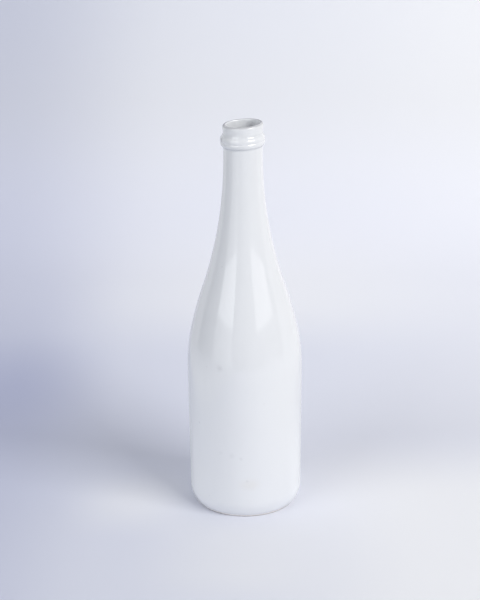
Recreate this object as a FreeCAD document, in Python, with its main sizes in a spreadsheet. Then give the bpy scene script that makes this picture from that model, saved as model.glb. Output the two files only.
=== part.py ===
"""White glazed bottle with a long swept neck, an applied neck ring and a rolled lip.

Frame: millimetres, +Z up, origin on the floor at the centre of the foot.
Seen from -Y, +X is to the right. The mouth and the neck ring sit a little askew, higher at +X.
"""
import FreeCAD, Part
import math
import os
import re
import Sketcher

# Driving sizes in millimetres, and in degrees where the name ends in tilt or sweep.
# They are sizes of the finished, glazed surface unless the name says clay, foot or recess.
SIZES = {
    # bottle form
    "rim_height": 302.6,
    "body_radius": 44.2,
    "side_taper": 0.95,
    "heel_height": 14.0,
    "shoulder_start": 110.0,
    "break_curve": 145.0,
    "break_sweep": 11.95,
    "shoulder_curve": 280.0,
    "neck_radius": 14.7,
    "straight_neck": 23.6,
    # lip
    "lip_depth": 5.4,
    "lip_flare": 0.45,
    "lip_hollow_curve": 16.0,
    "lip_round_curve": 6.0,
    "lip_outer_roll": 1.2,
    "lip_inner_roll": 0.9,
    "mouth_tilt": 3.8,
    # neck ring, its drop taken from the rim to the crease under it
    "ring_drop": 17.2,
    "ring_overhang": 1.9,
    "ring_under_curve": 5.0,
    "ring_band": 1.8,
    "ring_top_curve": 3.4,
    "ring_hollow_curve": 2.0,
    "ring_root_sink": 0.4,
    "ring_tilt": 2.2,
    # clay wall, bore and glaze coats
    "clay_wall": 3.2,
    "neck_wall": 2.2,
    "straight_bore": 29.3,
    "outer_coat": 0.45,
    "inner_coat": 0.35,
    "coat_join_drop": 7.0,
    "coat_edge_height": 1.6,
    "coat_edge_roll": 0.25,
    # foot, recess under it and floor of the cavity
    "foot_inset": 5.75,
    "foot_width": 4.0,
    "foot_inner_edge": 0.6,
    "foot_outer_edge": 0.4,
    "recess_depth": 2.2,
    "recess_slope": 1.2,
    "recess_corner": 1.2,
    "clay_base": 4.2,
    "clay_cavity_corner": 12.0,
    # length by which a cut passes what it cuts
    "overrun": 10.0,
}

PARTS_FOLDER = "parts"
PLACE_TOLERANCE = 1e-4
FULL_TURN = 360

# Sizes worked out from the driving ones, as formulas for the spreadsheet's expressions.
LIP_START = "(rim_height - lip_depth)"
RING_HEIGHT = "(rim_height - ring_drop)"
NECK_START = "(rim_height - straight_neck)"
BORE_START = "(rim_height - straight_bore)"
SIDE_LEAN = "atan(side_taper / (shoulder_start - heel_height))"
FOOT_RADIUS = "(body_radius - side_taper - foot_inset)"
HEEL_INSET = "(foot_inset - outer_coat)"
CLAY_HEEL_CURVE = (f"(({HEEL_INSET}^2 + heel_height^2)"
                   f" / (2 * ({HEEL_INSET} * cos({SIDE_LEAN}) - heel_height * sin({SIDE_LEAN}))))")
CLAY_BORE = "(neck_radius - neck_wall + inner_coat)"
CLAY_FLOOR = "(recess_depth + clay_base)"
BASE_MIDDLE = "(recess_depth + clay_base / 2)"
RING_DEPTH = f"((neck_radius - outer_coat + {CLAY_BORE}) / 2)"
RING_BAND_START = "sqrt(ring_under_curve^2 - (ring_under_curve - ring_overhang)^2)"

doc = FreeCAD.newDocument("bottle")


def make_sheet():
    """The spreadsheet that holds the driving sizes, one row each."""
    made = doc.addObject("Spreadsheet::Sheet", "Sizes")
    for row, (name, value) in enumerate(SIZES.items(), start=1):
        made.set(f"A{row}", name)
        made.set(f"B{row}", str(value))
        made.setAlias(f"B{row}", name)
    doc.recompute()
    return made


sheet = make_sheet()


def bound(formula):
    """A formula in size names, written as an expression on the spreadsheet."""
    return re.sub(r"[a-z_]+", lambda word: f"Sizes.{word[0]}" if word[0] in SIZES else word[0], formula)


def worth(formula):
    """The present value of a formula in size names."""
    result = sheet.evalExpression(bound(formula))
    return float(getattr(result, "Value", result))


def inside(size, depth):
    """A formula for a size taken depth further inside."""
    return f"({size} - {depth})"


def outside(size, depth):
    """A formula for a size taken depth further outside."""
    return f"({size} + {depth})"


def new_body(name):
    """An empty body with its own label."""
    body = doc.addObject("PartDesign::Body", name)
    body.Label = name
    body.Placement = FreeCAD.Placement()
    return body


class Outline:
    """A closed outline in the upright plane X-Z, drawn edge after edge with every size bound.

    A point is a pair of radius and height. Each edge starts where the last one ended.
    lift and tilt are formulas that raise the whole outline and turn it, +X upwards.
    """

    def __init__(self, body, name, start, lift=None, tilt=None):
        self.sketch = body.newObject("Sketcher::SketchObject", name)
        plane = next(one for one in body.Origin.OriginFeatures if one.Role == "XZ_Plane")
        self.sketch.AttachmentSupport = (plane, [""])
        self.sketch.MapMode = "FlatFace"
        if lift:
            turned = FreeCAD.Rotation(FreeCAD.Vector(0, 0, 1), worth(tilt))
            self.sketch.AttachmentOffset = FreeCAD.Placement(FreeCAD.Vector(0, worth(lift), 0), turned)
            self.sketch.setExpression("AttachmentOffset.Base.y", bound(lift))
            self.sketch.setExpression("AttachmentOffset.Rotation.Angle", bound(tilt))
        self.start = start
        self.here = start
        self.edges = []

    def _add(self, shape, first, last, smooth):
        """Adds an edge whose ends are first and last, joined to the one before, tangent where smooth."""
        edge = self.sketch.addGeometry(shape, False)
        if self.edges:
            before, _, before_last = self.edges[-1]
            self.rule("Tangent" if smooth else "Coincident", before, before_last, edge, first)
        self.edges.append((edge, first, last))
        return edge

    def line(self, end, smooth=False):
        """A straight edge to end."""
        shape = Part.LineSegment(FreeCAD.Vector(*self.here, 0), FreeCAD.Vector(*end, 0))
        self.here = end
        return self._add(shape, 1, 2, smooth)

    def level(self, radius):
        """A horizontal edge to radius."""
        edge = self.line((radius, self.here[1]))
        self.rule("Horizontal", edge)
        return edge

    def upright(self, height, smooth=False):
        """A vertical edge to height."""
        edge = self.line((self.here[0], height), smooth)
        self.rule("Vertical", edge)
        return edge

    def arc(self, centre, end, clockwise=False, smooth=False):
        """An arc about centre to end."""
        angles = [math.atan2(height - centre[1], radius - centre[0]) for radius, height in (self.here, end)]
        reach = math.dist(self.here, centre)
        circle = Part.Circle(FreeCAD.Vector(*centre, 0), FreeCAD.Vector(0, 0, 1), reach)
        self.here = end
        if clockwise:
            return self._add(Part.ArcOfCircle(circle, angles[1], angles[0]), 2, 1, smooth)
        return self._add(Part.ArcOfCircle(circle, angles[0], angles[1]), 1, 2, smooth)

    def rule(self, kind, *where):
        """A constraint without a size."""
        return self.sketch.addConstraint(Sketcher.Constraint(kind, *where))

    def size(self, kind, *where, to):
        """A constraint whose size follows a formula in size names."""
        value = worth(to)
        if kind == "Angle":
            value = math.radians(value)
        index = self.sketch.addConstraint(Sketcher.Constraint(kind, *where, value))
        self.sketch.setExpression(f"Constraints[{index}]", bound(to))

    def close(self, on_axis=True):
        """The last edge, straight down to the start, and the test that every size is settled."""
        first, first_end, _ = self.edges[0]
        edge = self.upright(self.start[1])
        self.rule("Coincident", edge, 2, first, first_end)
        if on_axis:
            self.rule("PointOnObject", edge, 1, -2)
        doc.recompute()
        if self.sketch.solve() != 0 or not self.sketch.FullyConstrained:
            raise RuntimeError(f"{self.sketch.Name} isn't settled")
        return self


def side_radius(depth, height):
    """Radius of the body's straight side at a height, depth inside the glazed surface."""
    drop = worth("shoulder_start") - height
    return worth(inside("body_radius", depth)) - drop * math.tan(math.radians(worth(SIDE_LEAN)))


def draw_side(outline, depth, neck_radius, neck_start):
    """Draws the side from the end of the heel or corner up into the neck.

    It is a leaning body, a break, a shoulder and a hollow that ends upright at neck_radius and
    neck_start, each tangent to the next. depth is how far the outline lies inside the glazed surface.
    """
    lean = math.radians(worth(SIDE_LEAN))
    top = (worth(inside("body_radius", depth)), worth("shoulder_start"))
    wall = outline.line(top, smooth=True)
    outline.size("Angle", wall, to=f"90 - {SIDE_LEAN} / 1deg")
    outline.size("DistanceX", wall, 2, to=inside("body_radius", depth))
    outline.size("DistanceY", wall, 2, to="shoulder_start")

    curve = worth(inside("break_curve", depth))
    centre = (top[0] - curve * math.cos(lean), top[1] + curve * math.sin(lean))
    turned = math.radians(worth("break_sweep")) - lean
    end = (centre[0] + curve * math.cos(turned), centre[1] + curve * math.sin(turned))
    bend = outline.arc(centre, end, smooth=True)
    outline.size("Radius", bend, to=inside("break_curve", depth))
    outline.size("Angle", bend, to="break_sweep")

    curve = worth(inside("shoulder_curve", depth))
    centre = (end[0] - curve * math.cos(turned), end[1] - curve * math.sin(turned))
    across = worth(neck_radius) - centre[0]
    up = worth(neck_start) - centre[1]
    hollow = (across ** 2 + up ** 2 - curve ** 2) / (2 * (curve - across))
    share = curve / (curve + hollow)
    middle = (centre[0] + (across + hollow) * share, centre[1] + up * share)
    shoulder = outline.arc(centre, middle, smooth=True)
    outline.size("Radius", shoulder, to=inside("shoulder_curve", depth))

    centre = (worth(neck_radius) + hollow, worth(neck_start))
    neck = outline.arc(centre, (worth(neck_radius), worth(neck_start)), clockwise=True, smooth=True)
    outline.size("DistanceY", neck, 1, to=neck_start)


def draw_neck_to(outline, neck_radius, height):
    """Draws the straight neck up to a height."""
    edge = outline.upright(worth(height), smooth=True)
    outline.size("DistanceX", edge, 2, to=neck_radius)
    outline.size("DistanceY", edge, 2, to=height)


def draw_outside(outline, depth):
    """Draws the outside from the heel to above the rim, and closes the outline down the axis."""
    heel_curve = outside(CLAY_HEEL_CURVE, f"outer_coat - {depth}")
    lean = math.radians(worth(SIDE_LEAN))
    curve = worth(heel_curve)
    end = (side_radius(depth, worth("heel_height")), worth("heel_height"))
    centre = (end[0] - curve * math.cos(lean), end[1] + curve * math.sin(lean))
    heel = outline.arc(centre, end)
    outline.size("Radius", heel, to=heel_curve)
    outline.size("DistanceY", heel, 2, to="heel_height")
    neck_radius = inside("neck_radius", depth)
    draw_side(outline, depth, neck_radius, NECK_START)
    draw_neck_to(outline, neck_radius, LIP_START)

    hollow = worth(outside("lip_hollow_curve", depth))
    swell = worth(inside("lip_round_curve", depth))
    turn = math.acos(1 - worth("lip_flare") / (hollow + swell))
    start = outline.here
    centre = (start[0] + hollow, start[1])
    middle = (centre[0] - hollow * math.cos(turn), centre[1] + hollow * math.sin(turn))
    outline.size("Radius", outline.arc(centre, middle, clockwise=True, smooth=True),
                 to=outside("lip_hollow_curve", depth))
    centre = (middle[0] - swell * math.cos(turn), middle[1] + swell * math.sin(turn))
    outline.size("Radius", outline.arc(centre, (centre[0] + swell, centre[1]), smooth=True),
                 to=inside("lip_round_curve", depth))
    edge = outline.upright(worth("rim_height + overrun"), smooth=True)
    outline.size("DistanceX", edge, 2, to=f"{neck_radius} + lip_flare")
    outline.size("DistanceY", edge, 2, to="rim_height + overrun")
    outline.level(0)
    outline.close()


def heel_start(depth, height):
    """Radius at which the heel's curve passes a low height."""
    lean = math.radians(worth(SIDE_LEAN))
    curve = worth(outside(CLAY_HEEL_CURVE, f"outer_coat - {depth}"))
    centre_height = worth("heel_height") + curve * math.sin(lean)
    centre_radius = side_radius(depth, worth("heel_height")) - curve * math.cos(lean)
    return centre_radius + math.sqrt(curve ** 2 - (centre_height - height) ** 2)


def clay_outside(body):
    """The clay's outside with its foot and the recess under it."""
    outline = Outline(body, "clay_outside", (0, worth("recess_depth")))
    foot = heel_start("outer_coat", 0)
    foot_inside = foot - worth("foot_width")
    ceiling = outline.level(foot_inside - worth("recess_slope"))
    outline.size("DistanceY", ceiling, 1, to="recess_depth")
    flank = outline.line((foot_inside, 0))
    outline.size("DistanceX", flank, 1, flank, 2, to="recess_slope")
    outline.rule("PointOnObject", flank, 2, -1)
    sole = outline.level(foot)
    outline.size("DistanceX", sole, 1, sole, 2, to="foot_width")
    draw_outside(outline, "outer_coat")
    return outline


def glazed_outside(body):
    """The glazed outside, from the lower edge of the coat upwards. Its underside lies within the clay."""
    edge_height = worth("coat_edge_height")
    outline = Outline(body, "glazed_outside", (0, worth(BASE_MIDDLE)))
    within = outline.level(heel_start("outer_coat", 0) - worth("foot_width") / 2)
    outline.size("DistanceY", within, 1, to=BASE_MIDDLE)
    outline.size("DistanceX", within, 2, to=f"{FOOT_RADIUS} - foot_width / 2")
    outline.upright(edge_height)
    edge = outline.level(heel_start("0", edge_height))
    outline.size("DistanceY", edge, 1, to="coat_edge_height")
    draw_outside(outline, "0")
    return outline


def cavity(body, name, lining, top):
    """The inside of the bottle up to a height, its wall covered by a lining of the given depth."""
    depth = f"(outer_coat + clay_wall + {lining})"
    floor = outside(CLAY_FLOOR, lining)
    corner = inside("clay_cavity_corner", lining)
    lean = math.radians(worth(SIDE_LEAN))
    curve = worth(corner)
    height = worth(floor) + curve
    centre = (side_radius(depth, height) - curve / math.cos(lean), height)

    outline = Outline(body, name, (0, worth(floor)))
    flat = outline.level(centre[0])
    outline.size("DistanceY", flat, 1, to=floor)
    end = (centre[0] + curve * math.cos(lean), centre[1] - curve * math.sin(lean))
    outline.size("Radius", outline.arc(centre, end, smooth=True), to=corner)
    neck_radius = inside(CLAY_BORE, lining)
    draw_side(outline, depth, neck_radius, BORE_START)
    draw_neck_to(outline, neck_radius, top)
    outline.level(0)
    return outline.close()


def ring_section(body, name, depth):
    """Section of the neck ring, depth inside its glazed surface, round the neck's axis at the crease."""
    crown = f"(neck_radius + ring_overhang - {depth})"
    root = f"(neck_radius - ring_root_sink - {depth})"
    under = worth(inside("ring_under_curve", depth))
    top = worth(inside("ring_top_curve", depth))
    hollow = worth(outside("ring_hollow_curve", depth))
    turn = math.acos(1 - worth("ring_overhang + ring_root_sink") / (top + hollow))
    start = worth(RING_BAND_START)
    centre = (worth(crown) - under, start)
    bottom = start - math.sqrt(under ** 2 - (worth(RING_DEPTH) - centre[0]) ** 2)

    outline = Outline(body, name, (worth(RING_DEPTH), bottom), lift=RING_HEIGHT, tilt="ring_tilt")
    edge = outline.arc(centre, (worth(crown), start))
    outline.size("Radius", edge, to=inside("ring_under_curve", depth))
    outline.size("DistanceY", edge, 3, to=RING_BAND_START)
    band = outline.upright(start + worth("ring_band"), smooth=True)
    outline.size("DistanceX", band, 2, to=crown)
    outline.size("DistanceY", band, 1, band, 2, to="ring_band")
    centre = (worth(crown) - top, outline.here[1])
    end = (centre[0] + top * math.cos(turn), centre[1] + top * math.sin(turn))
    outline.size("Radius", outline.arc(centre, end, smooth=True), to=inside("ring_top_curve", depth))
    centre = (end[0] + hollow * math.cos(turn), end[1] + hollow * math.sin(turn))
    edge = outline.arc(centre, (worth(root), centre[1]), clockwise=True, smooth=True)
    outline.size("Radius", edge, to=outside("ring_hollow_curve", depth))
    outline.rule("Horizontal", edge, 3, edge, 1)
    outline.size("DistanceX", edge, 1, to=root)
    inner = outline.level(worth(RING_DEPTH))
    outline.size("DistanceX", inner, 2, to=RING_DEPTH)
    return outline.close(on_axis=False)


def revolve(body, outline, name):
    """Turns an outline once round its own upright axis, as material."""
    feature = body.newObject("PartDesign::Revolution", name)
    feature.Profile = outline.sketch
    feature.ReferenceAxis = (outline.sketch, ["V_Axis"])
    feature.Angle = FULL_TURN
    doc.recompute()


def take_away(body, kind, name, **settings):
    """Adds a cutting feature to the body, and makes sure that it takes material away."""
    before = body.Shape.Volume
    feature = body.newObject(kind, name)
    for setting, value in settings.items():
        setattr(feature, setting, value)
    doc.recompute()
    if not body.Shape.Volume < before:
        raise RuntimeError(f"{name} cuts nothing")


def hollow_out(body, outline, name):
    """Takes an outline, turned once round its own upright axis, away from the body."""
    take_away(body, "PartDesign::Groove", name, Profile=outline.sketch,
              ReferenceAxis=(outline.sketch, ["V_Axis"]), Angle=FULL_TURN)


def trim_mouth(body, name, depth):
    """Cuts the neck off along the tilted plane of the mouth, depth below the glazed rim."""
    width = "(body_radius + overrun)"
    outline = Outline(body, f"{name}_outline", (-worth(width), 0),
                      lift=f"rim_height - {depth} / cos(mouth_tilt * 1deg)", tilt="mouth_tilt")
    low = outline.level(worth(width))
    outline.rule("Symmetric", low, 1, low, 2, -1, 1)
    outline.size("DistanceX", low, 1, low, 2, to=f"2 * {width}")
    outline.size("DistanceY", outline.upright(worth("2 * overrun")), 2, to="2 * overrun")
    outline.level(-worth(width))
    outline.close(on_axis=False)
    take_away(body, "PartDesign::Pocket", name, Profile=outline.sketch, Type="ThroughAll", Midplane=True)


def mouth_edge(depth, outer):
    """A test for the outer or the inner edge of the trimmed mouth."""
    tilt = math.radians(worth("mouth_tilt"))
    normal = FreeCAD.Vector(-math.sin(tilt), 0, math.cos(tilt))
    centre = FreeCAD.Vector(0, 0, worth(f"rim_height - {depth} / cos(mouth_tilt * 1deg)"))
    middle = worth(RING_DEPTH)

    def test(edge):
        points = edge.discretize(Number=5)
        flat = all(abs((point - centre).dot(normal)) < PLACE_TOLERANCE for point in points)
        return flat and (edge.BoundBox.XMax > middle) == outer
    return test


def round_edge(radius, height):
    """A test for the level, round edge of a given radius and height."""
    def test(edge):
        box = edge.BoundBox
        at_height = max(abs(box.ZMax - height), abs(box.ZMin - height)) < PLACE_TOLERANCE
        return at_height and abs(box.XMax - radius) < PLACE_TOLERANCE
    return test


def roll(body, name, radius, picks):
    """Rounds the edges of the body that picks() chooses."""
    base = body.Tip
    names = [f"Edge{i}" for i, edge in enumerate(base.Shape.Edges, start=1) if picks(edge)]
    if not names:
        raise RuntimeError(f"{name} finds no edge")
    feature = body.newObject("PartDesign::Fillet", name)
    feature.Base = (base, names)
    feature.Radius = worth(radius)
    feature.setExpression("Radius", bound(radius))
    doc.recompute()


def make_ceramic_body():
    """The fired clay: foot, heel, body, shoulder, neck and lip in one cast wall."""
    body = new_body("ceramic_body")
    revolve(body, clay_outside(body), "clay_form")
    foot = heel_start("outer_coat", 0)
    foot_inside = foot - worth("foot_width")
    roll(body, "recess_corner_roll", "recess_corner",
         round_edge(foot_inside - worth("recess_slope"), worth("recess_depth")))
    roll(body, "foot_inner_roll", "foot_inner_edge", round_edge(foot_inside, 0))
    roll(body, "foot_outer_roll", "foot_outer_edge", round_edge(foot, 0))
    hollow_out(body, cavity(body, "clay_cavity", "0", "rim_height + overrun"), "clay_hollow")
    trim_mouth(body, "clay_mouth", "outer_coat")
    roll(body, "clay_lip_outside", "lip_outer_roll - outer_coat", mouth_edge("outer_coat", outer=True))
    roll(body, "clay_lip_inside", "lip_inner_roll - inner_coat", mouth_edge("outer_coat", outer=False))
    return body


def make_inner_glaze():
    """The lining, poured in and drained, from the floor of the cavity up to the join below the lip."""
    body = new_body("inner_glaze")
    join = "(rim_height - coat_join_drop)"
    revolve(body, cavity(body, "lining_outside", "0", join), "lining_form")
    hollow_out(body, cavity(body, "lining_inside", "inner_coat", "rim_height + overrun"), "lining_hollow")
    return body


def cut_from(name, base, tool):
    """base less tool."""
    result = doc.addObject("Part::Cut", name)
    result.Base = base
    result.Tool = tool
    doc.recompute()
    return result


def make_neck_ring(ceramic_body):
    """The applied ring, seated all round on the neck's clay."""
    blank = new_body("ring_blank")
    revolve(blank, ring_section(blank, "ring_clay_section", "outer_coat"), "ring_form")
    return cut_from("neck_ring", blank, ceramic_body)


def make_outer_glaze(ceramic_body, neck_ring, inner_glaze):
    """The coat over body, ring and lip, which stops a little above the foot."""
    form = new_body("glazed_form")
    revolve(form, glazed_outside(form), "glazed_bottle")
    edge_height = worth("coat_edge_height")
    roll(form, "coat_edge", "coat_edge_roll", round_edge(heel_start("0", edge_height), edge_height))
    revolve(form, ring_section(form, "glazed_ring_section", "0"), "glazed_ring")
    hollow_out(form, cavity(form, "lined_cavity", "inner_coat", "rim_height + overrun"), "lined_hollow")
    trim_mouth(form, "glazed_mouth", "0")
    roll(form, "lip_outside", "lip_outer_roll", mouth_edge("0", outer=True))
    roll(form, "lip_inside", "lip_inner_roll", mouth_edge("0", outer=False))
    coats = cut_from("coats", form, ceramic_body)
    outer_coats = cut_from("outer_coats", coats, inner_glaze)
    return cut_from("outer_glaze", outer_coats, neck_ring)


def check(parts):
    """Stops the run if an object failed, or if a part isn't one sound solid."""
    for item in doc.Objects:
        if {"Invalid", "Error"} & set(item.State):
            raise RuntimeError(f"{item.Name} failed: {item.State}")
    for part in parts:
        shape = part.Shape
        if shape.isNull() or not shape.isValid() or len(shape.Solids) != 1:
            raise RuntimeError(f"{part.Label} isn't one sound solid")


def main():
    """Builds the parts, checks them and writes one file for each."""
    ceramic_body = make_ceramic_body()
    inner_glaze = make_inner_glaze()
    neck_ring = make_neck_ring(ceramic_body)
    outer_glaze = make_outer_glaze(ceramic_body, neck_ring, inner_glaze)
    parts = [ceramic_body, neck_ring, outer_glaze, inner_glaze]
    check(parts)
    os.makedirs(PARTS_FOLDER, exist_ok=True)
    for part in parts:
        part.Shape.exportStep(os.path.join(PARTS_FOLDER, f"{part.Label}.step"))
        print(f"{part.Label}: {part.Shape.Volume / 1000:.2f} cm3, {part.Shape.optimalBoundingBox()}")


main()
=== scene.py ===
"""White glazed bottle: its glaze, bare clay and lining, and the pale studio it stands in.

The clay casting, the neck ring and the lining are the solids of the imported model. The outer glaze is drawn here
as a potter's profile, spun round the bottle's axis, and takes the place of the plain solid.
"""

import math

import bpy
from mathutils import Matrix, Vector, noise


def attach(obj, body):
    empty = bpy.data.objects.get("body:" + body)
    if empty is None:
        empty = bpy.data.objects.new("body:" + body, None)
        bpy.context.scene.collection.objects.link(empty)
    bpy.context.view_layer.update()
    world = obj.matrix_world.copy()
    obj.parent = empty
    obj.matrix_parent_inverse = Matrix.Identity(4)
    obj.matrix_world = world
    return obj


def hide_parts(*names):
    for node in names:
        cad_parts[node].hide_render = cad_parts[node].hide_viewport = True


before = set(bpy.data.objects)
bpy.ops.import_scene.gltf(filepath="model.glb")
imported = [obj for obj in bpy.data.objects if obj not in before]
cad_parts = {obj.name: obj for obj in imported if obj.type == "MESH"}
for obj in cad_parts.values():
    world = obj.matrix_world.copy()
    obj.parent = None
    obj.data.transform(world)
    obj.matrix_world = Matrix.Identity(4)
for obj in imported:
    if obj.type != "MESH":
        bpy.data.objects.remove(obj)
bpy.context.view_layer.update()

MM = 0.001
MERGE_REACH = 0.01 * MM  # points nearer than this become one
TOUCH = 0.02 * MM  # points nearer than this to a place lie on it
SMOOTH_ANGLE = math.radians(60.0)

WHITE = (1.0, 1.0, 1.0)
WARM = (1.0, 0.99, 0.975)
COOL = (0.95, 0.975, 1.0)
ROOM_TINT = (0.94, 0.96, 1.0)

# Soft lamps: name, angle round the bottle in degrees, distance from its axis, width and heights of the lower and
# upper edge in metres, the setting that holds the brightness, and the tint
SOFTBOXES = (
    ("right_softbox", 48.5, 2.05, 1.70, 0.38, 1.08, "right_light", WARM),
    ("right_core", 48.5, 2.0, 1.50, 1.05, 2.25, "right_core_light", WARM),
    ("left_softbox", -46.0, 2.05, 1.50, -0.60, 0.42, "left_light", COOL),
    ("left_middle", -46.0, 2.05, 1.50, 0.42, 1.08, "left_middle_light", COOL),
    ("left_core", -46.0, 2.0, 1.45, 1.08, 2.25, "left_core_light", COOL),
    ("left_fill", -127.5, 2.1, 1.2, -0.4, 1.0, "left_fill_light", COOL),
    ("right_wide", 113.0, 2.1, 2.23, -0.4, 1.8, "right_wide_light", WARM),
)
BACKDROP_LAMP_PLACE = (0.32, 0.12, 0.85)
BACKDROP_LAMP_WIDTH = 0.8

# Marks seen on the glaze, the last two of them painted shade: where they lie and how wide they are in millimetres,
# and how strong they are
MARKS_AND_SHADE = (
    ((-19.5, -39.1, 123.7), 5.0, 0.22),
    ((-20.1, -38.8, 123.0), 2.2, 0.16),
    ((-35.1, -26.3, 74.5), 1.3, 0.45),
    ((-16.4, -19.1, 197.5), 1.4, 0.30),
    ((-18.8, -39.4, 54.8), 3.6, 0.08),
    ((-10.4, -42.4, 53.6), 4.4, 0.09),
    ((-3.6, -43.5, 51.5), 2.4, 0.12),
    ((0.9, -43.4, 32.6), 2.0, 0.14),
    ((14.1, -41.7, 96.0), 2.0, 0.08),
    # painted shade on the mouth's inner wall at the back right, which faces the dim left
    ((6.5, 10.8, 297.2), 8.0, 0.60),
    # painted shade: a darker reflection on the ring's left end
    ((-15.7, -5.3, 291.2), 3.8, 0.85),
)

bl_info = {
    "name": "White glazed bottle",
    "version": (1, 0, 0),
    "blender": (4, 5, 0),
    "location": "3D View > Sidebar > Bottle",
    "description": "Glaze, clay, lining and studio of a white glazed bottle",
    "category": "Object",
}


def length(name, description, millimetres):
    """A size that a user can change, given in millimetres and kept in metres."""
    return bpy.props.FloatProperty(
        name=name, description=description, default=millimetres * MM, precision=5, unit="LENGTH"
    )


def turn(name, description, degrees):
    """An angle that a user can change, given in degrees."""
    return bpy.props.FloatProperty(
        name=name, description=description, default=math.radians(degrees), subtype="ANGLE", unit="ROTATION"
    )


def colour(name, description, red, green, blue):
    """A colour that a user can change."""
    return bpy.props.FloatVectorProperty(
        name=name, description=description, default=(red, green, blue), size=3, min=0.0, max=1.0, subtype="COLOR"
    )


def amount(name, description, value):
    """A plain number that a user can change."""
    return bpy.props.FloatProperty(name=name, description=description, default=value)


# Sizes and colours


class BottleForm(bpy.types.PropertyGroup):
    """The outline of the glazed body, from the foot to the start of the lip."""

    body_radius: length("Body radius", "Widest radius of the glaze, where the side ends", 44.16)
    side_taper: length("Side taper", "How much slimmer the side is at the heel", 0.95)
    heel_height: length("Heel height", "Where the rounded heel meets the side", 14.0)
    heel_curve: length("Heel curve", "Radius of the rounded heel", 22.15)
    coat_edge: length("Coat edge", "Height at which the glaze stops above the foot", 2.2)
    shoulder_start: length("Shoulder start", "Where the side ends", 110.0)
    break_curve: length("Break curve", "Radius of the turn into the shoulder", 145.0)
    break_sweep: turn("Break sweep", "Angle that the turn into the shoulder covers", 11.95)
    shoulder_curve: length("Shoulder curve", "Radius of the long shoulder", 280.0)
    neck_radius: length("Neck radius", "Radius of the neck under the ring", 14.7)
    neck_start: length("Neck start", "Where the hollow shoulder becomes the neck", 279.0)
    coat: length("Coat", "Thickness of the glaze", 0.4)


class MouthForm(bpy.types.PropertyGroup):
    """The ring on the neck, and the lip above it."""

    ring_height: length("Ring height", "Where the ring leaves the neck", 285.4)
    ring_radius: length("Ring radius", "Outer radius of the ring and of the bead under it", 16.6)
    bead_middle: length("Bead middle", "Height of the bead under the ring, where it is widest", 288.6)
    bead_under_curve: length("Bead underside", "Radius of the bead's underside", 3.5)
    groove_curve: length("Groove side", "Radius of both sides of the shallow groove between bead and ring", 2.0)
    groove_floor: length("Groove floor", "Radius of the floor of the groove", 0.4)
    groove_slope: turn("Groove slope", "How far the sides of the groove turn in", 30.0)
    ring_band: length("Ring band", "Height of the ring's upright face", 0.25)
    ring_top_curve: length("Top curve", "Radius of the ring's upper side", 3.8)
    ring_hollow: length("Ring hollow", "Radius of the hollow above the ring", 4.0)
    crease_fill: length("Crease fill", "Radius to which the glaze fills the crease under the ring", 0.8)
    ring_tilt: turn("Ring tilt", "How far the ring leans, higher on the right", 2.2)
    lip_start: length("Lip start", "Where the neck starts to flare", 296.5)
    lip_hollow: length("Lip hollow", "Radius of the flare", 8.0)
    lip_round: length("Lip round", "Radius of the outside of the lip", 12.0)
    lip_flare: length("Lip flare", "How far the lip stands out from the neck", 0.45)
    rim_height: length("Rim height", "Height of the middle of the mouth", 302.56)
    outer_roll: length("Outer roll", "Rounding of the rim's outer edge", 1.75)
    inner_roll: length("Inner roll", "Rounding at the top of the rim's inner edge", 0.5)
    inner_ease: length("Inner ease", "Radius of the longer curve from that rounding into the mouth", 1.55)
    inner_turn: turn("Inner turn", "Angle that the longer curve covers", 50.0)
    bore_radius: length("Bore radius", "Radius of the glazed mouth", 12.5)
    bore_coat: length("Bore coat", "Thickness of the glaze inside the mouth", 0.3)
    join_height: length("Join height", "Where the outer glaze meets the lining", 295.6)
    mouth_tilt: turn("Mouth tilt", "How far the mouth leans, higher on the right", 3.8)


class HandWork(bpy.types.PropertyGroup):
    """Small unevenness that hands and kiln leave."""

    wave_depth: length("Wave depth", "Depth of the long shallow waves in the glaze", 0.1)
    wave_size: length("Wave size", "Size of the long shallow waves", 55.0)
    edge_wander: length("Edge wander", "How far the lower edge of the glaze wanders up and down", 0.3)
    segments: bpy.props.IntProperty(name="Segments", description="Faces round the bottle", default=192, min=24)


class GlazeFinish(bpy.types.PropertyGroup):
    """Colours and gloss of the white glaze."""

    white: colour("White", "The glaze where it is even", 0.81, 0.825, 0.855)
    # Also paints shade on the rim's top.
    thin_and_shaded: colour("Thin glaze", "Where the glaze runs thin over an edge", 0.60, 0.605, 0.63)
    # Painted light: a paler white low on both sides of the body.
    painted_light_low: colour("Thick glaze", "Where the glaze lies thick, low on both sides", 0.92, 0.935, 0.955)
    pooled: colour("Pooled glaze", "Where the glaze gathers in a crease", 0.62, 0.65, 0.69)
    # Also paints shade on the rim, inside the mouth and on the ring's left end.
    speck_and_shade: colour("Speck", "Iron specks, pinholes and stains", 0.36, 0.36, 0.40)
    beige: colour("Beige", "A faint kiln mark low on the front", 0.72, 0.67, 0.60)
    roughness: amount("Roughness", "Roughness of the clean glaze", 0.07)


class ClayFinish(bpy.types.PropertyGroup):
    """Colours of the bare clay and the lining."""

    cream: colour("Cream", "Fired clay", 0.95, 0.925, 0.90)
    buff: colour("Buff", "Darker grains in the clay", 0.84, 0.79, 0.73)
    # Also paints the contact shadow where the foot meets the floor.
    worn_and_shaded: colour("Worn", "Foot where it has stood on shelves", 0.30, 0.28, 0.26)
    lining: colour("Lining", "Glaze inside the bottle", 0.70, 0.71, 0.70)
    lining_pooled: colour("Pooled lining", "Where the lining gathers", 0.52, 0.55, 0.55)


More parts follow.
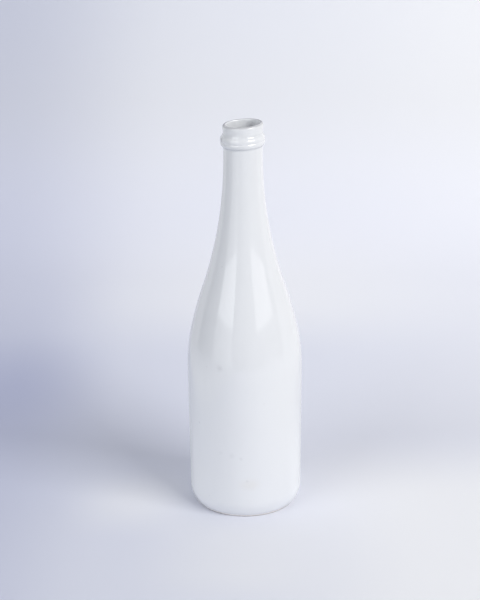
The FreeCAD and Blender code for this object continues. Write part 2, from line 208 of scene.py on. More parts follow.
class StageSetup(bpy.types.PropertyGroup):
    """The floor, the lamps and the camera."""

    camera_x: length("Camera x", "Camera to the right of the bottle", -3.2)
    camera_y: length("Camera y", "Camera behind the bottle", -1275.0)
    camera_z: length("Camera z", "Camera height", 624.6)
    camera_pitch: turn("Pitch", "How far the camera looks down", 19.85)
    camera_roll: turn("Roll", "How far the camera leans to the right", 0.54)
    camera_lens: amount("Lens", "Focal length in millimetres", 106.8)
    floor_front: length("Floor front", "Front edge of the floor", -580.0)
    floor_left: length("Floor left", "Left edge of the floor", -700.0)
    floor_right: length("Floor right", "Right edge of the floor", 820.0)
    floor_depth: length("Floor depth", "Where the floor starts to curve up", 520.0)
    floor_curve: length("Floor curve", "Radius of the curve behind the floor", 420.0)
    floor_top: length("Floor top", "Height of the backdrop above the curve", 900.0)
    pale: colour("Pale", "Floor and backdrop", 0.79, 0.81, 0.91)
    # The pale colours below paint shade and light on the paper: darker to the left, in a band behind the bottle and
    # far in front, lighter to the right.
    pale_left: colour("Pale left", "Floor and backdrop far to the left", 0.54, 0.57, 0.71)
    pale_right: colour("Pale right", "Floor and backdrop far to the right", 0.88, 0.89, 0.955)
    pale_band: colour("Pale band", "Deeper band on the floor behind the bottle", 0.50, 0.53, 0.71)
    pale_dim: colour("Pale dim", "Floor far in front, under the lamps", 0.55, 0.57, 0.62)
    # Painted shade, a little warm, where the backdrop rises.
    backdrop_shade: colour("Pale high", "A trace of warmth where the backdrop rises", 0.28, 0.26, 0.0)
    right_light: amount("Right light", "Brightness of the right softbox", 1.0)
    right_core_light: amount("Right core light", "Brightness of the upper part of the right softbox", 7.5)
    left_light: amount("Left light", "Brightness of the left softbox", 0.6)
    left_middle_light: amount("Left middle light", "Brightness of the middle part of the left softbox", 1.65)
    left_core_light: amount("Left core light", "Brightness of the upper part of the left softbox", 1.9)
    left_fill_light: amount("Left fill light", "Brightness of the high light on the left", 0.55)
    right_wide_light: amount("Right wide light", "Brightness of the wide light on the right", 0.45)
    backdrop_light: amount("Backdrop light", "Brightness of the lamp on the backdrop", 1.1)
    room_light: amount("Room light", "Brightness of the room all round", 0.33)


# Picking and shaping


def deselect_all():
    """Leaves nothing selected, so that the next tool acts on its own piece only."""
    if bpy.context.object and bpy.context.object.mode != "OBJECT":
        bpy.ops.object.mode_set(mode="OBJECT")
    bpy.ops.object.select_all(action="DESELECT")


def pick(piece):
    """Makes one piece the selected and active one."""
    deselect_all()
    piece.select_set(True)
    bpy.context.view_layer.objects.active = piece


def pick_points(piece, wanted):
    """Selects the points of a piece in edit mode that a test of their place wants."""
    bpy.ops.object.mode_set(mode="OBJECT")
    for edge in piece.data.edges:
        edge.select = False
    for face in piece.data.polygons:
        face.select = False
    for point in piece.data.vertices:
        point.select = wanted(point)
    bpy.ops.object.mode_set(mode="EDIT")
    bpy.ops.mesh.select_mode(type="VERT")


def on_circle(centre, radius, angle):
    """The point of a circle in the profile's plane at an angle counted up from the right."""
    return (centre[0] + radius * math.cos(angle), centre[1] + radius * math.sin(angle))


class Profile:
    """A profile drawn in the plane of the axis, one stroke after another, from a single point."""

    def __init__(self, name, start):
        deselect_all()
        bpy.ops.mesh.primitive_plane_add(size=MM)
        self.piece = bpy.context.object
        self.piece.name = name
        self.piece.data.name = name
        bpy.ops.object.mode_set(mode="EDIT")
        bpy.ops.mesh.select_mode(type="VERT")
        bpy.ops.mesh.merge(type="CENTER")
        bpy.ops.transform.translate(value=(start[0], 0.0, start[1]))
        self.start = start
        self.place = start

    def restart(self):
        """Goes back to the first point, for a second line from there."""
        pick_points(self.piece, lambda point: point.index == 0)
        self.place = self.start

    def line(self, end, steps=1):
        """Draws a straight stroke in equal steps."""
        step = ((end[0] - self.place[0]) / steps, 0.0, (end[1] - self.place[1]) / steps)
        for _ in range(steps):
            bpy.ops.mesh.extrude_region_move(TRANSFORM_OT_translate={"value": step})
        self.place = end

    def arc(self, centre, angle, steps):
        """Draws a part of a circle, turning left for a positive angle."""
        bpy.ops.mesh.spin(steps=steps, angle=angle, center=(centre[0], 0.0, centre[1]), axis=(0.0, 1.0, 0.0))
        away = Vector((self.place[0] - centre[0], self.place[1] - centre[1]))
        start = math.atan2(away.y, away.x)
        self.place = on_circle(centre, away.length, start + angle)


# The outer glaze


def side_curves(form):
    """Centres, radii and angles of the curves of the body's side, worked out so that each flows into the next."""
    lean = math.atan(form.side_taper / (form.shoulder_start - form.heel_height))
    heel_radius = form.body_radius - form.side_taper
    heel = (heel_radius - form.heel_curve * math.cos(lean), form.heel_height + form.heel_curve * math.sin(lean))
    turn_in = (
        form.body_radius - form.break_curve * math.cos(lean),
        form.shoulder_start + form.break_curve * math.sin(lean),
    )
    after = form.break_sweep - lean
    end = on_circle(turn_in, form.break_curve, after)
    shoulder = (end[0] - form.shoulder_curve * math.cos(after), end[1] - form.shoulder_curve * math.sin(after))
    across = form.neck_radius - shoulder[0]
    up = form.neck_start - shoulder[1]
    hollow_radius = (across**2 + up**2 - form.shoulder_curve**2) / (2.0 * (form.shoulder_curve - across))
    hollow = (form.neck_radius + hollow_radius, form.neck_start)
    last = math.atan2(up, hollow[0] - shoulder[0])
    return {
        "lean": lean,
        "heel": heel,
        "heel_start": math.asin((form.coat_edge - heel[1]) / form.heel_curve),
        "turn_in": turn_in,
        "after": after,
        "shoulder": shoulder,
        "hollow": hollow,
        "last": last,
    }


def draw_side(profile, form, curves, depth):
    """Draws heel, side, shoulder and neck at a depth under the surface, up to the ring."""
    lean = curves["lean"]
    profile.arc(curves["heel"], -lean - curves["heel_start"], steps=14)
    profile.line(on_circle(curves["turn_in"], form.break_curve - depth, -lean), steps=20)
    profile.arc(curves["turn_in"], form.break_sweep, steps=12)
    profile.arc(curves["shoulder"], curves["last"] - curves["after"], steps=14)
    profile.arc(curves["hollow"], -curves["last"], steps=36)


def draw_ring(profile, form, mouth, depth):
    """Draws the bead and the ring above it, with a shallow groove between and glaze gathered in the crease."""
    neck = form.neck_radius - depth
    radius = mouth.ring_radius
    bead = (radius - mouth.bead_under_curve, mouth.bead_middle)
    bead_curve = mouth.bead_under_curve - depth
    fill = mouth.crease_fill + depth
    fill_x = neck + fill
    drop = math.sqrt((bead_curve + fill) ** 2 - (fill_x - bead[0]) ** 2)
    crease = (fill_x, bead[1] - drop)
    meet = math.atan2(-drop, fill_x - bead[0])
    profile.line((neck, crease[1]), steps=3)
    profile.arc(crease, meet, steps=4)
    profile.arc(bead, -meet, steps=10)

    slope = mouth.groove_slope
    lower = (radius - mouth.groove_curve, mouth.bead_middle)
    floor = on_circle(lower, mouth.groove_curve + mouth.groove_floor, slope)
    upper = (lower[0], 2.0 * floor[1] - lower[1])
    profile.arc(lower, slope, steps=5)
    profile.arc(floor, -2.0 * slope, steps=4)
    profile.arc(upper, slope, steps=5)

    top = (radius - mouth.ring_top_curve, upper[1] + mouth.ring_band)
    top_curve = mouth.ring_top_curve - depth
    hollow = mouth.ring_hollow + depth
    hollow_x = neck + hollow
    rise = math.sqrt((top_curve + hollow) ** 2 - (hollow_x - top[0]) ** 2)
    leave = math.atan2(rise, hollow_x - top[0])
    profile.line((top[0] + top_curve, top[1]))
    profile.arc(top, leave, steps=9)
    profile.arc((hollow_x, top[1] + rise), -leave, steps=7)


def draw_lip(profile, form, mouth, depth, bore):
    """Draws the flare, the rounded rim and the inside of the mouth."""
    neck = form.neck_radius - depth
    hollow = (form.neck_radius + mouth.lip_hollow, mouth.lip_start)
    flare = math.acos(1.0 - mouth.lip_flare / (mouth.lip_hollow + mouth.lip_round))
    round_centre = on_circle(hollow, mouth.lip_hollow + mouth.lip_round, math.pi - flare)
    roll_height = mouth.rim_height - mouth.outer_roll
    inside = mouth.lip_round - mouth.outer_roll
    roll = (round_centre[0] + math.sqrt(inside**2 - (round_centre[1] - roll_height) ** 2), roll_height)
    start = math.atan2(roll[1] - round_centre[1], roll[0] - round_centre[0])
    up = math.pi - mouth.inner_turn
    ease = mouth.inner_ease - mouth.inner_roll
    inner_ease = (
        mouth.bore_radius + mouth.inner_ease,
        mouth.rim_height - mouth.inner_roll - ease * math.sin(up),
    )
    inner_roll = on_circle(inner_ease, ease, up)
    profile.line((neck, mouth.lip_start), steps=2)
    profile.arc(hollow, -flare, steps=5)
    profile.arc(round_centre, flare + start, steps=4)
    profile.arc(roll, math.radians(90.0) - start, steps=8)
    profile.line((inner_roll[0], mouth.rim_height - depth))
    profile.arc(inner_roll, math.radians(90.0) - mouth.inner_turn, steps=4)
    profile.arc(inner_ease, mouth.inner_turn, steps=8)
    profile.line((bore, mouth.join_height), steps=5)


def spin_round(profile, segments):
    """Turns the finished profile once round the bottle's axis and closes the seam."""
    piece = profile.piece
    bpy.ops.mesh.select_all(action="SELECT")
    bpy.ops.mesh.spin(steps=segments, angle=math.radians(360.0), center=(0.0, 0.0, 0.0), axis=(0.0, 0.0, 1.0))
    bpy.ops.mesh.select_all(action="SELECT")
    bpy.ops.mesh.remove_doubles(threshold=MERGE_REACH)
    bpy.ops.mesh.normals_make_consistent(inside=False)
    bpy.ops.object.mode_set(mode="OBJECT")
    return piece


def ramp(value, low, high):
    """0 below the low value, 1 above the high one, and even between them."""
    return min(1.0, max(0.0, (value - low) / (high - low)))


def lean_mouth(piece, form, mouth):
    """Leans the ring about its crease, and the lip a little more, as the solids do."""
    off_neck = form.neck_radius + 0.1 * MM
    under_ring = mouth.ring_height - MM
    over_ring = mouth.ring_height + 9.2 * MM
    under_rim = mouth.rim_height - 1.5 * MM
    middle = Vector((0.0, 0.0, mouth.ring_height))
    lean = Matrix.Rotation(-mouth.ring_tilt, 3, "Y")
    for point in piece.data.vertices:
        x, y, z = point.co
        if math.hypot(x, y) > off_neck and under_ring < z < mouth.lip_start:
            point.co = middle + lean @ (point.co - middle)
            continue
        share = ramp(z, form.neck_start, under_ring)
        more = ramp(z, over_ring, under_rim)
        angle = share * mouth.ring_tilt + more * (mouth.mouth_tilt - mouth.ring_tilt)
        point.co.z = z + x * math.tan(angle)


def wander_edge(piece, form, work, curves):
    """Lets the lower edge of the glaze wander up and down the heel."""
    centre = curves["heel"]
    long_swings, short_swings, elsewhere = 1.7, 5.3, Vector((4.0, 0.0, 0.0))
    lift = 0.35
    for point in piece.data.vertices:
        x, y, z = point.co
        if z >= form.heel_height:
            continue
        out = math.hypot(x, y)
        way = Vector((x, y, 0.0)) / out
        fade = ramp(form.heel_height - z, 0.0, form.heel_height - form.coat_edge) ** 3
        drift = noise.noise(way * long_swings) + 0.5 * noise.noise(way * short_swings + elsewhere)
        angle = (lift + drift) * work.edge_wander * fade / form.heel_curve
        across, up = out - centre[0], z - centre[1]
        new_out = centre[0] + across * math.cos(angle) - up * math.sin(angle)
        new_z = centre[1] + across * math.sin(angle) + up * math.cos(angle)
        point.co = way * new_out + Vector((0.0, 0.0, new_z))


def wave_surface(piece, form, work):
    """Gives the outside long, shallow waves that stay under the solid's surface."""
    outside = piece.vertex_groups.new(name="outside")
    normals = piece.data.vertex_normals
    chosen = []
    for point in piece.data.vertices:
        across = Vector((point.co.x, point.co.y, 0.0))
        if point.co.z < form.neck_start and across.dot(normals[point.index].vector) > 0.0:
            chosen.append(point.index)
    outside.add(chosen, 1.0, "REPLACE")
    waves = bpy.data.textures.new("waves", "CLOUDS")
    waves.noise_scale = work.wave_size
    waves.noise_depth = 1
    pick(piece)
    bpy.ops.object.modifier_add(type="DISPLACE")
    shift = piece.modifiers[-1]
    shift.texture = waves
    shift.texture_coords = "LOCAL"
    shift.vertex_group = outside.name
    shift.mid_level = 1.0
    shift.strength = work.wave_depth
    bpy.ops.object.modifier_apply(modifier=shift.name)


# Materials


class Value:
    """A number that changes over a surface: one socket, with the usual signs for sums."""

    def __init__(self, finish, socket):
        self.finish = finish
        self.socket = socket

    def sum(self, operation, first, second=0.0):
        node = self.finish.node("ShaderNodeMath", {"operation": operation}, {0: first, 1: second})
        return Value(self.finish, node.outputs[0])

    def __add__(self, other):
        return self.sum("ADD", self, other)

    def __radd__(self, other):
        return self.sum("ADD", other, self)

    def __sub__(self, other):
        return self.sum("SUBTRACT", self, other)

    def __rsub__(self, other):
        return self.sum("SUBTRACT", other, self)

    def __mul__(self, other):
        return self.sum("MULTIPLY", self, other)

    def __rmul__(self, other):
        return self.sum("MULTIPLY", other, self)

    def __pow__(self, other):
        return self.sum("POWER", self, other)

    def size(self):
        return self.sum("ABSOLUTE", self)

    def least(self, other):
        return self.sum("MINIMUM", self, other)

    def most(self, other):
        return self.sum("MAXIMUM", self, other)

    def rise(self, low, high):
        """0 below the low value and 1 above the high one, with a soft step between."""
        settings = {"interpolation_type": "SMOOTHSTEP"}
        node = self.finish.node("ShaderNodeMapRange", settings, {"Value": self, "From Min": low, "From Max": high})
        return Value(self.finish, node.outputs["Result"])

    def fall(self, low, high):
        """1 below the low value and 0 above the high one, with a soft step between."""
        return 1.0 - self.rise(low, high)

    def near(self, middle, full, none):
        """1 up to a small reach from the middle value and 0 beyond a larger one, with a soft step between."""
        return (self - middle).size().fall(full, none)


class Finish:
    """A material being put together from nodes."""

    def __init__(self, name, tree=None):
        self.material = None
        if tree is None:
            self.material = bpy.data.materials.new(name)
            self.material.use_nodes = True
            tree = self.material.node_tree
        self.tree = tree
        self.tree.nodes.clear()
        self.count = 0

    def node(self, kind, settings=None, sockets=None):
        """Adds a node of a type, with its settings first and then the values or links of its sockets."""
        made = self.tree.nodes.new(kind)
        made.location = (220.0 * (self.count % 12), -260.0 * (self.count // 12))
        self.count += 1
        for key, setting in (settings or {}).items():
            setattr(made, key, setting)
        for key, value in (sockets or {}).items():
            socket = made.inputs[key]
            if isinstance(value, Value):
                value = value.socket
            if isinstance(value, bpy.types.NodeSocket):
                self.tree.links.new(value, socket)
            elif isinstance(value, (int, float)):
                socket.default_value = value
            else:
                socket.default_value = tuple(value) + (1.0,) * (len(socket.default_value) - len(value))
        return made

    def place(self):
        """The place on the piece, in its own coordinates."""
        return self.node("ShaderNodeTexCoord").outputs["Object"]

    def parts(self, place):
        """The three numbers of a place."""
        node = self.node("ShaderNodeSeparateXYZ", None, {0: place})
        return [Value(self, node.outputs[key]) for key in "XYZ"]

    def noise(self, place, scale, detail=2.0, roughness=0.5):
        """Soft clouds between 0 and 1; a larger scale makes them smaller."""
        sockets = {"Vector": place, "Scale": scale, "Detail": detail, "Roughness": roughness}
        return Value(self, self.node("ShaderNodeTexNoise", None, sockets).outputs[0])

    def cells(self, place, scale):
        """Distance to scattered points, and a number of its own for each of them."""
        node = self.node("ShaderNodeTexVoronoi", {"feature": "F1"}, {"Vector": place, "Scale": scale})
        own = self.node("ShaderNodeSeparateColor", None, {0: node.outputs["Color"]})
        return Value(self, node.outputs["Distance"]), Value(self, own.outputs[0])

    def distance(self, place, spot):
        """How far a place is from a spot."""
        node = self.node("ShaderNodeVectorMath", {"operation": "DISTANCE"}, {0: place, 1: spot})
        return Value(self, node.outputs["Value"])

    def scaled(self, place, scale):
        """A place drawn out or pressed together along each axis."""
        node = self.node("ShaderNodeVectorMath", {"operation": "MULTIPLY"}, {0: place, 1: scale})
        return node.outputs["Vector"]

    def mix(self, share, first, second):
        """One colour where the share is 0, and the other where it is 1."""
        settings = {"data_type": "RGBA"}
        node = self.node("ShaderNodeMix", settings, {"Factor": share, 6: first, 7: second})
        return node.outputs[2]

    def layers(self, shade, *tones):
        """Lays tones over a colour, one after another, each with its share."""
        for share, tone in tones:
            shade = self.mix(share, shade, tone)
        return shade

    def bump(self, height, strength, distance):
        """Fine relief that only the light shows."""
        sockets = {"Height": height, "Strength": strength, "Distance": distance}
        return self.node("ShaderNodeBump", None, sockets).outputs["Normal"]

    def surface(self, sockets):
        """Closes the material with its surface shader."""
        shader = self.node("ShaderNodeBsdfPrincipled", None, sockets)
        self.node("ShaderNodeOutputMaterial", None, {"Surface": shader.outputs["BSDF"]})
        return self.material


def white_glaze(settings, form, mouth):
    """Glossy white glaze: even on the wall, thinner and darker at the rim and above the foot, pooled in the crease,
    with a few spots and stains; painted light low on both sides, and painted shade at the rim, inside the mouth and
    on the ring's left end.
    """
    finish = Finish("white_glaze")
    place = finish.place()
    x, y, z = finish.parts(place)
    cloudy = finish.noise(place, 28.0, 3.0)
    fine = finish.noise(place, 190.0, 2.0)
    out = (x * x + y * y) ** 0.5
    ring_z = z - x * math.tan(mouth.ring_tilt)
    mouth_z = z - x * math.tan(mouth.mouth_tilt)
    crease = ring_z.near(mouth.ring_height + 0.2 * MM, 0.2 * MM, 1.4 * MM)
    hollow = ring_z.near(mouth.ring_height + 9.6 * MM, 0.3 * MM, 1.8 * MM)
    rim = mouth_z.rise(mouth.rim_height - 1.6 * MM, mouth.rim_height - 0.2 * MM)
    edge = z.fall(form.coat_edge + 0.3 * MM, form.coat_edge + 2.2 * MM)
    pooled = (crease * 0.35 + hollow * 0.2) * (0.6 + cloudy * 0.8)
    # Darker at the rim: thinner glaze there, and painted shade where the rim's top faces the dim room; thinner
    # glaze above the foot edge too.
    thin_and_shaded = (rim * out.rise(12.9 * MM, 13.5 * MM) + edge * 0.3) * (0.5 + cloudy)
    flat = 1.6
    smudge = finish.distance(finish.scaled(place, (1.0, 1.0, flat)), (2.3 * MM, -43.3 * MM, 29.6 * flat * MM))
    smudge = smudge.fall(1.0 * MM, 12.0 * MM) * (0.05 + cloudy * 0.2)
    reach, own = finish.cells(place, 75.0)
    specks_and_shade = reach.fall(0.01, 0.04) * own.rise(0.55, 0.95) * 0.35
    for spot, width, strength in MARKS_AND_SHADE:
        centre = tuple(part * MM for part in spot)
        ragged = finish.distance(place, centre) + (fine - 0.5) * width * 0.9 * MM
        specks_and_shade = specks_and_shade.most(ragged.fall(width * 0.1 * MM, width * 0.75 * MM) * strength)
    # Painted shade, with some wear: the back half of the rim made much darker.
    worn_and_shaded = rim * out.rise(12.9 * MM, 13.2 * MM) * y.rise(-4.0 * MM, 3.0 * MM)
    specks_and_shade = specks_and_shade.most(worn_and_shaded * 1.1).least(1.0)
    shade = finish.mix((cloudy - 0.5) * 0.5 + 0.25, settings.white, [part * 0.965 for part in settings.white])
    # Painted light: the lower body made paler on the left, and low on the right edge.
    painted_light_left = x.fall(-42.0 * MM, -8.0 * MM) * z.fall(105.0 * MM, 150.0 * MM)
    painted_light_right = x.rise(30.0 * MM, 46.0 * MM) * z.fall(35.0 * MM, 95.0 * MM) * 0.75
    painted_light_low = (painted_light_left + painted_light_right) * (0.8 + cloudy * 0.2)
    shade = finish.layers(
        shade,
        (painted_light_low, settings.painted_light_low),
        (thin_and_shaded.least(1.0), settings.thin_and_shaded),
        (pooled.least(1.0), settings.pooled),
        (smudge, settings.beige),
        (specks_and_shade * 0.8, settings.speck_and_shade),
    )
    dust = finish.noise(finish.scaled(place, (1.0, 1.0, 0.35)), 45.0, 4.0, 0.6)
    roughness = settings.roughness + (dust - 0.5) * 0.05 + specks_and_shade * 0.5 + edge * 0.1
    orange_peel = finish.noise(place, 140.0, 1.0)
    holes, _ = finish.cells(place, 420.0)
    holes = holes.fall(0.03, 0.09)
    height = orange_peel * 0.6 + fine * 0.15 - holes * 0.5 - specks_and_shade * 0.6
    sockets = {
        "Base Color": shade,
        "Roughness": roughness,
        "Normal": finish.bump(height, 0.30, 0.02 * MM),
        "IOR": 1.7,
    }
    return finish.surface(sockets)


def fired_clay(settings):
    """Cream fired clay with fine grain, darker grey where the foot stands: some wear, and a painted contact shadow.
    """
    finish = Finish("fired_clay")
    place = finish.place()
    z = finish.parts(place)[2]
    grain = finish.noise(place, 900.0, 3.0, 0.6)
    cloudy = finish.noise(place, 60.0, 3.0)
    reach, own = finish.cells(place, 700.0)
    grains = reach.fall(0.12, 0.30) * own.rise(0.55, 0.85)
    # Darker where the foot stands: some wear, and a painted contact shadow along the floor.
    wear_and_shadow = z.fall(0.25 * MM, 0.75 * MM) * (0.6 + cloudy.rise(0.35, 0.62) * 0.4)
    shade = finish.layers(
        settings.cream,
        (cloudy.rise(0.3, 0.7) * 0.35, settings.buff),
        (grains * 0.45, settings.buff),
        (wear_and_shadow * 0.9, settings.worn_and_shaded),
    )
    sockets = {
        "Base Color": shade,
        "Roughness": 0.82 - wear_and_shadow * 0.2 + (grain - 0.5) * 0.15,
        "Normal": finish.bump(grain * 0.7 + cloudy * 0.3 - grains * 0.5, 0.6, 0.06 * MM),
    }
    return finish.surface(sockets)


def lining_glaze(settings):
    """The poured lining: a little greyer, with runs down the wall and a pool on the floor of the bottle."""
    finish = Finish("lining_glaze")
    place = finish.place()
    z = finish.parts(place)[2]
    runs = finish.noise(finish.scaled(place, (1.0, 1.0, 0.08)), 160.0, 2.0)
    cloudy = finish.noise(place, 40.0, 3.0)
    pool = z.fall(7.0 * MM, 16.0 * MM)
    pooled = (runs.rise(0.45, 0.75) * 0.35 + pool * 0.5 + cloudy * 0.2).least(1.0)
    shade = finish.mix(pooled, settings.lining, settings.lining_pooled)
    sockets = {
        "Base Color": shade,
        "Roughness": 0.16 + cloudy * 0.1,
        "Normal": finish.bump(runs * 0.7 + cloudy * 0.3, 0.4, 0.06 * MM),
    }
    return finish.surface(sockets)


def pale_floor(setup):
    """Matt pale paper, with painted shade on the left, in a band behind the bottle, far in front and where it
    rises, and painted light on the right, behind the bottle and in patches near it; in metres.
    """
    finish = Finish("pale_floor")
    place = finish.place()
    x, y, z = finish.parts(place)
    fibres = finish.noise(place, 600.0, 2.0)
    left_side, right_side = x + y * 0.12, x - y * 0.12
    on_floor, on_wall = y.fall(0.42, 0.62), y.rise(0.42, 0.62)
    # Painted shade: darker towards the left, and a painted shadow in a band behind the bottle, deepest on the left.
    left = x.fall(-0.62, 0.06) * left_side.rise(-0.30, -0.21)
    band = y.near(0.14, 0.0, 0.24) * z.fall(0.0, 0.1) * left
    # Painted light: lighter paper behind the bottle.
    behind = y.rise(0.30, 0.50) * z.fall(0.05, 0.25)
    # Painted shade far to the left, on the floor and on the wall.
    far_left_shade = x.fall(-0.215, -0.105) * (0.45 + y.near(0.22, 0.0, 0.16) * 0.5) * on_floor
    wall_left_shade = x.fall(-0.28, -0.08) * on_wall * 0.45
    # Painted light: a pool of light where the floor turns up, and lighter patches beside and in front of the
    # bottle.
    glow = y.rise(0.28, 0.46) * y.fall(0.50, 0.70) * x.near(0.03, 0.0, 0.26) * 0.42
    near_right_light = x.rise(-0.03, 0.14) * y.fall(-0.01, 0.12) * 0.62
    near_left_light = y.near(-0.01, 0.0, 0.07) * x.near(-0.085, 0.0, 0.07) * 0.4
    front = x.near(-0.01, 0.0, 0.09) * y.near(-0.10, 0.02, 0.10) * 0.35
    # Painted light on the paper beyond the view on both sides.
    outside = left_side.fall(-0.27, -0.20) + right_side.rise(0.19, 0.28)
    # Painted shade on the floor far in front, under the lamps.
    under_lamps_shade = (x.size() - y).rise(0.42, 1.0)
    shade = finish.layers(
        setup.pale,
        (left * 0.95, setup.pale_left),
        # painted light towards the right
        (x.rise(-0.02, 0.42), setup.pale_right),
        (behind * 0.5, setup.pale_right),
        (band, setup.pale_band),
        (far_left_shade + wall_left_shade, setup.pale_band),
        (glow + near_right_light + near_left_light + front, WHITE),
        (outside * 0.7, WHITE),
        (under_lamps_shade * 0.6, setup.pale_dim),
        # painted shade, a little warm, where the backdrop rises
        (z.rise(0.0, 0.14) * 0.12, setup.backdrop_shade),
        (fibres * 0.06, [part * 0.9 for part in setup.pale]),
    )
    sockets = {"Base Color": shade, "Roughness": 0.9, "Specular IOR Level": 0.2}
    return finish.surface(sockets)


def give(piece, material):
    """Puts one material on the whole piece."""
    piece.data.materials.clear()
    piece.data.materials.append(material)


# The steps, each of them a button in the sidebar


class BOTTLE_OT_glaze_coat(bpy.types.Operator):
    """Draws the white outer glaze as a profile, spins it round the axis and finishes it"""

    bl_idname = "bottle.glaze_coat"
    bl_label = "Outer glaze"

    def execute(self, context):
        scene = context.scene
        form, mouth, work = scene.bottle_form, scene.bottle_mouth, scene.bottle_work
        curves = side_curves(form)
        half = form.coat / 2.0
        bead = on_circle(curves["heel"], form.heel_curve - half, curves["heel_start"])
        start = on_circle(curves["heel"], form.heel_curve - form.coat, curves["heel_start"])
        profile = Profile("glaze_coat", start)
        profile.arc(bead, math.radians(180.0), steps=8)
        draw_side(profile, form, curves, 0.0)
        draw_ring(profile, form, mouth, 0.0)
        draw_lip(profile, form, mouth, 0.0, mouth.bore_radius)
        profile.restart()
        draw_side(profile, form, curves, form.coat)
        draw_ring(profile, form, mouth, form.coat)
        draw_lip(profile, form, mouth, form.coat, mouth.bore_radius + mouth.bore_coat)
        ends = (mouth.bore_radius, mouth.bore_radius + mouth.bore_coat)

        def at_join(point):
            level = abs(point.co.z - mouth.join_height) < TOUCH
            return level and any(abs(point.co.x - out) < TOUCH for out in ends)

        pick_points(profile.piece, at_join)
        bpy.ops.mesh.edge_face_add()
        coat = spin_round(profile, work.segments)
        wave_surface(coat, form, work)
        wander_edge(coat, form, work, curves)
        lean_mouth(coat, form, mouth)
        pick(coat)
        bpy.ops.object.shade_smooth_by_angle(angle=SMOOTH_ANGLE)
        give(coat, white_glaze(scene.bottle_glaze, form, mouth))
        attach(coat, "root")
        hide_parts("outer_glaze")
        deselect_all()
        return {"FINISHED"}


class BOTTLE_OT_clay(bpy.types.Operator):
    """Gives the casting and the neck ring their bare fired clay"""

    bl_idname = "bottle.clay"
    bl_label = "Bare clay"

    def execute(self, context):
        clay = fired_clay(context.scene.bottle_clay)
        give(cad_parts["ceramic_body"], clay)
        give(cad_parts["neck_ring"], clay)
        return {"FINISHED"}


class BOTTLE_OT_lining(bpy.types.Operator):
    """Gives the inside of the bottle its poured lining"""

    bl_idname = "bottle.lining"
    bl_label = "Lining"

    def execute(self, context):
        give(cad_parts["inner_glaze"], lining_glaze(context.scene.bottle_clay))
        return {"FINISHED"}


def add_floor(setup):
    """Adds the pale floor that curves up into the backdrop."""
    deselect_all()
    width = setup.floor_right - setup.floor_left
    middle = (setup.floor_right + setup.floor_left) / 2.0
    bpy.ops.mesh.primitive_grid_add(x_subdivisions=1, y_subdivisions=1, size=1.0)
    floor = bpy.context.object
    floor.name = "floor"
    floor.data.name = "floor"
    depth = setup.floor_depth - setup.floor_front
    bpy.ops.object.mode_set(mode="EDIT")
    bpy.ops.transform.resize(value=(width, depth, 1.0))
    bpy.ops.transform.translate(value=(middle, setup.floor_front + depth / 2.0, 0.0))
    pick_points(floor, lambda point: point.co.y > setup.floor_depth - MM)
    bpy.ops.mesh.spin(
        steps=24,
        angle=math.radians(90.0),
        center=(0.0, setup.floor_depth, setup.floor_curve),
        axis=(-1.0, 0.0, 0.0),
    )
    bpy.ops.mesh.extrude_region_move(TRANSFORM_OT_translate={"value": (0.0, 0.0, setup.floor_top)})
    bpy.ops.mesh.select_all(action="SELECT")
    bpy.ops.mesh.normals_make_consistent(inside=False)
    bpy.ops.object.mode_set(mode="OBJECT")
    bpy.ops.object.shade_smooth()
    return floor


def add_softbox(name, azimuth, away, width, low, high, brightness, tint):
    """Adds an upright soft lamp that faces the bottle's axis; its face is as bright as white paper at 1."""
    deselect_all()
    angle = math.radians(azimuth)
    place = (away * math.sin(angle), -away * math.cos(angle), (low + high) / 2.0)
    bpy.ops.object.light_add(type="AREA", location=place, rotation=(math.radians(90.0), 0.0, angle))
    lamp = bpy.context.object
    lamp.name = name
    lamp.data.name = name
    lamp.data.shape = "RECTANGLE"
    lamp.data.size = width
    lamp.data.size_y = high - low
    lamp.data.energy = brightness * math.pi * width * (high - low)
    lamp.data.color = tint
    return lamp


def add_backdrop_lamp(brightness):
    """Adds a lamp behind the bottle that faces away from it and lights the backdrop alone."""
    width = BACKDROP_LAMP_WIDTH
    lamp = add_softbox("backdrop_lamp", 0.0, 1.0, width, 0.0, width, brightness, WARM)
    lamp.location = BACKDROP_LAMP_PLACE
    return lamp


def add_camera(setup):
    """Adds the camera that the photograph's outline and ellipses give."""
    deselect_all()
    bpy.ops.object.camera_add()
    camera = bpy.context.object
    camera.name = "camera"
    camera.data.lens = setup.camera_lens
    camera.data.sensor_width = 36.0
    place = Matrix.Translation((setup.camera_x, setup.camera_y, setup.camera_z))
    look = Matrix.Rotation(math.radians(90.0) - setup.camera_pitch, 4, "X")
    camera.matrix_world = place @ look @ Matrix.Rotation(-setup.camera_roll, 4, "Z")
    return camera


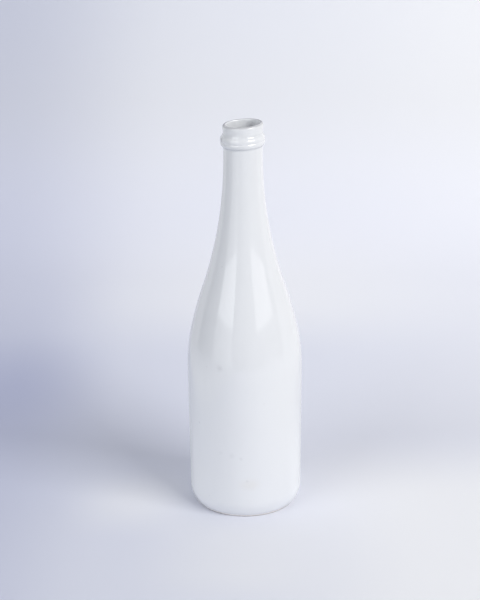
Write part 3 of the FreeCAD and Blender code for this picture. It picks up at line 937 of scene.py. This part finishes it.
class BOTTLE_OT_stage(bpy.types.Operator):
    """Sets up the pale floor, the soft lamps, the dim room and the camera"""

    bl_idname = "bottle.stage"
    bl_label = "Stage"

    def execute(self, context):
        scene = context.scene
        setup = scene.bottle_stage
        floor = add_floor(setup)
        give(floor, pale_floor(setup))
        for name, azimuth, away, width, low, high, setting, tint in SOFTBOXES:
            add_softbox(name, azimuth, away, width, low, high, getattr(setup, setting), tint)
        add_backdrop_lamp(setup.backdrop_light)
        world = bpy.data.worlds.new("room")
        world.use_nodes = True
        room = Finish("room", world.node_tree)
        light = room.node("ShaderNodeBackground", None, {"Color": ROOM_TINT, "Strength": setup.room_light})
        room.node("ShaderNodeOutputWorld", None, {"Surface": light.outputs[0]})
        scene.world = world
        scene.camera = add_camera(setup)
        scene.view_settings.view_transform = "Standard"
        deselect_all()
        return {"FINISHED"}


class BOTTLE_PT_steps(bpy.types.Panel):
    """Lists the bottle's sizes and the steps that make it"""

    bl_idname = "BOTTLE_PT_steps"
    bl_label = "Bottle"
    bl_space_type = "VIEW_3D"
    bl_region_type = "UI"
    bl_category = "Bottle"

    def draw(self, context):
        scene = context.scene
        for step in STEPS:
            self.layout.operator(step.bl_idname)
        for name in GROUPS:
            group = getattr(scene, name)
            box = self.layout.box()
            for key in group.bl_rna.properties.keys():
                if key not in {"rna_type", "name"}:
                    box.prop(group, key)


STEPS = (BOTTLE_OT_glaze_coat, BOTTLE_OT_clay, BOTTLE_OT_lining, BOTTLE_OT_stage)
GROUPS = {
    "bottle_form": BottleForm,
    "bottle_mouth": MouthForm,
    "bottle_work": HandWork,
    "bottle_glaze": GlazeFinish,
    "bottle_clay": ClayFinish,
    "bottle_stage": StageSetup,
}


def register():
    """Makes the sizes, the steps and the panel known."""
    for name, group in GROUPS.items():
        bpy.utils.register_class(group)
        setattr(bpy.types.Scene, name, bpy.props.PointerProperty(type=group))
    for step in STEPS:
        bpy.utils.register_class(step)
    bpy.utils.register_class(BOTTLE_PT_steps)


def unregister():
    """Takes the panel, the steps and the sizes away again."""
    bpy.utils.unregister_class(BOTTLE_PT_steps)
    for step in reversed(STEPS):
        bpy.utils.unregister_class(step)
    for name, group in reversed(GROUPS.items()):
        delattr(bpy.types.Scene, name)
        bpy.utils.unregister_class(group)


def main():
    """Makes the bottle and its stage."""
    register()
    bpy.ops.bottle.glaze_coat()
    bpy.ops.bottle.clay()
    bpy.ops.bottle.lining()
    bpy.ops.bottle.stage()


if __name__ == "__main__":
    main()
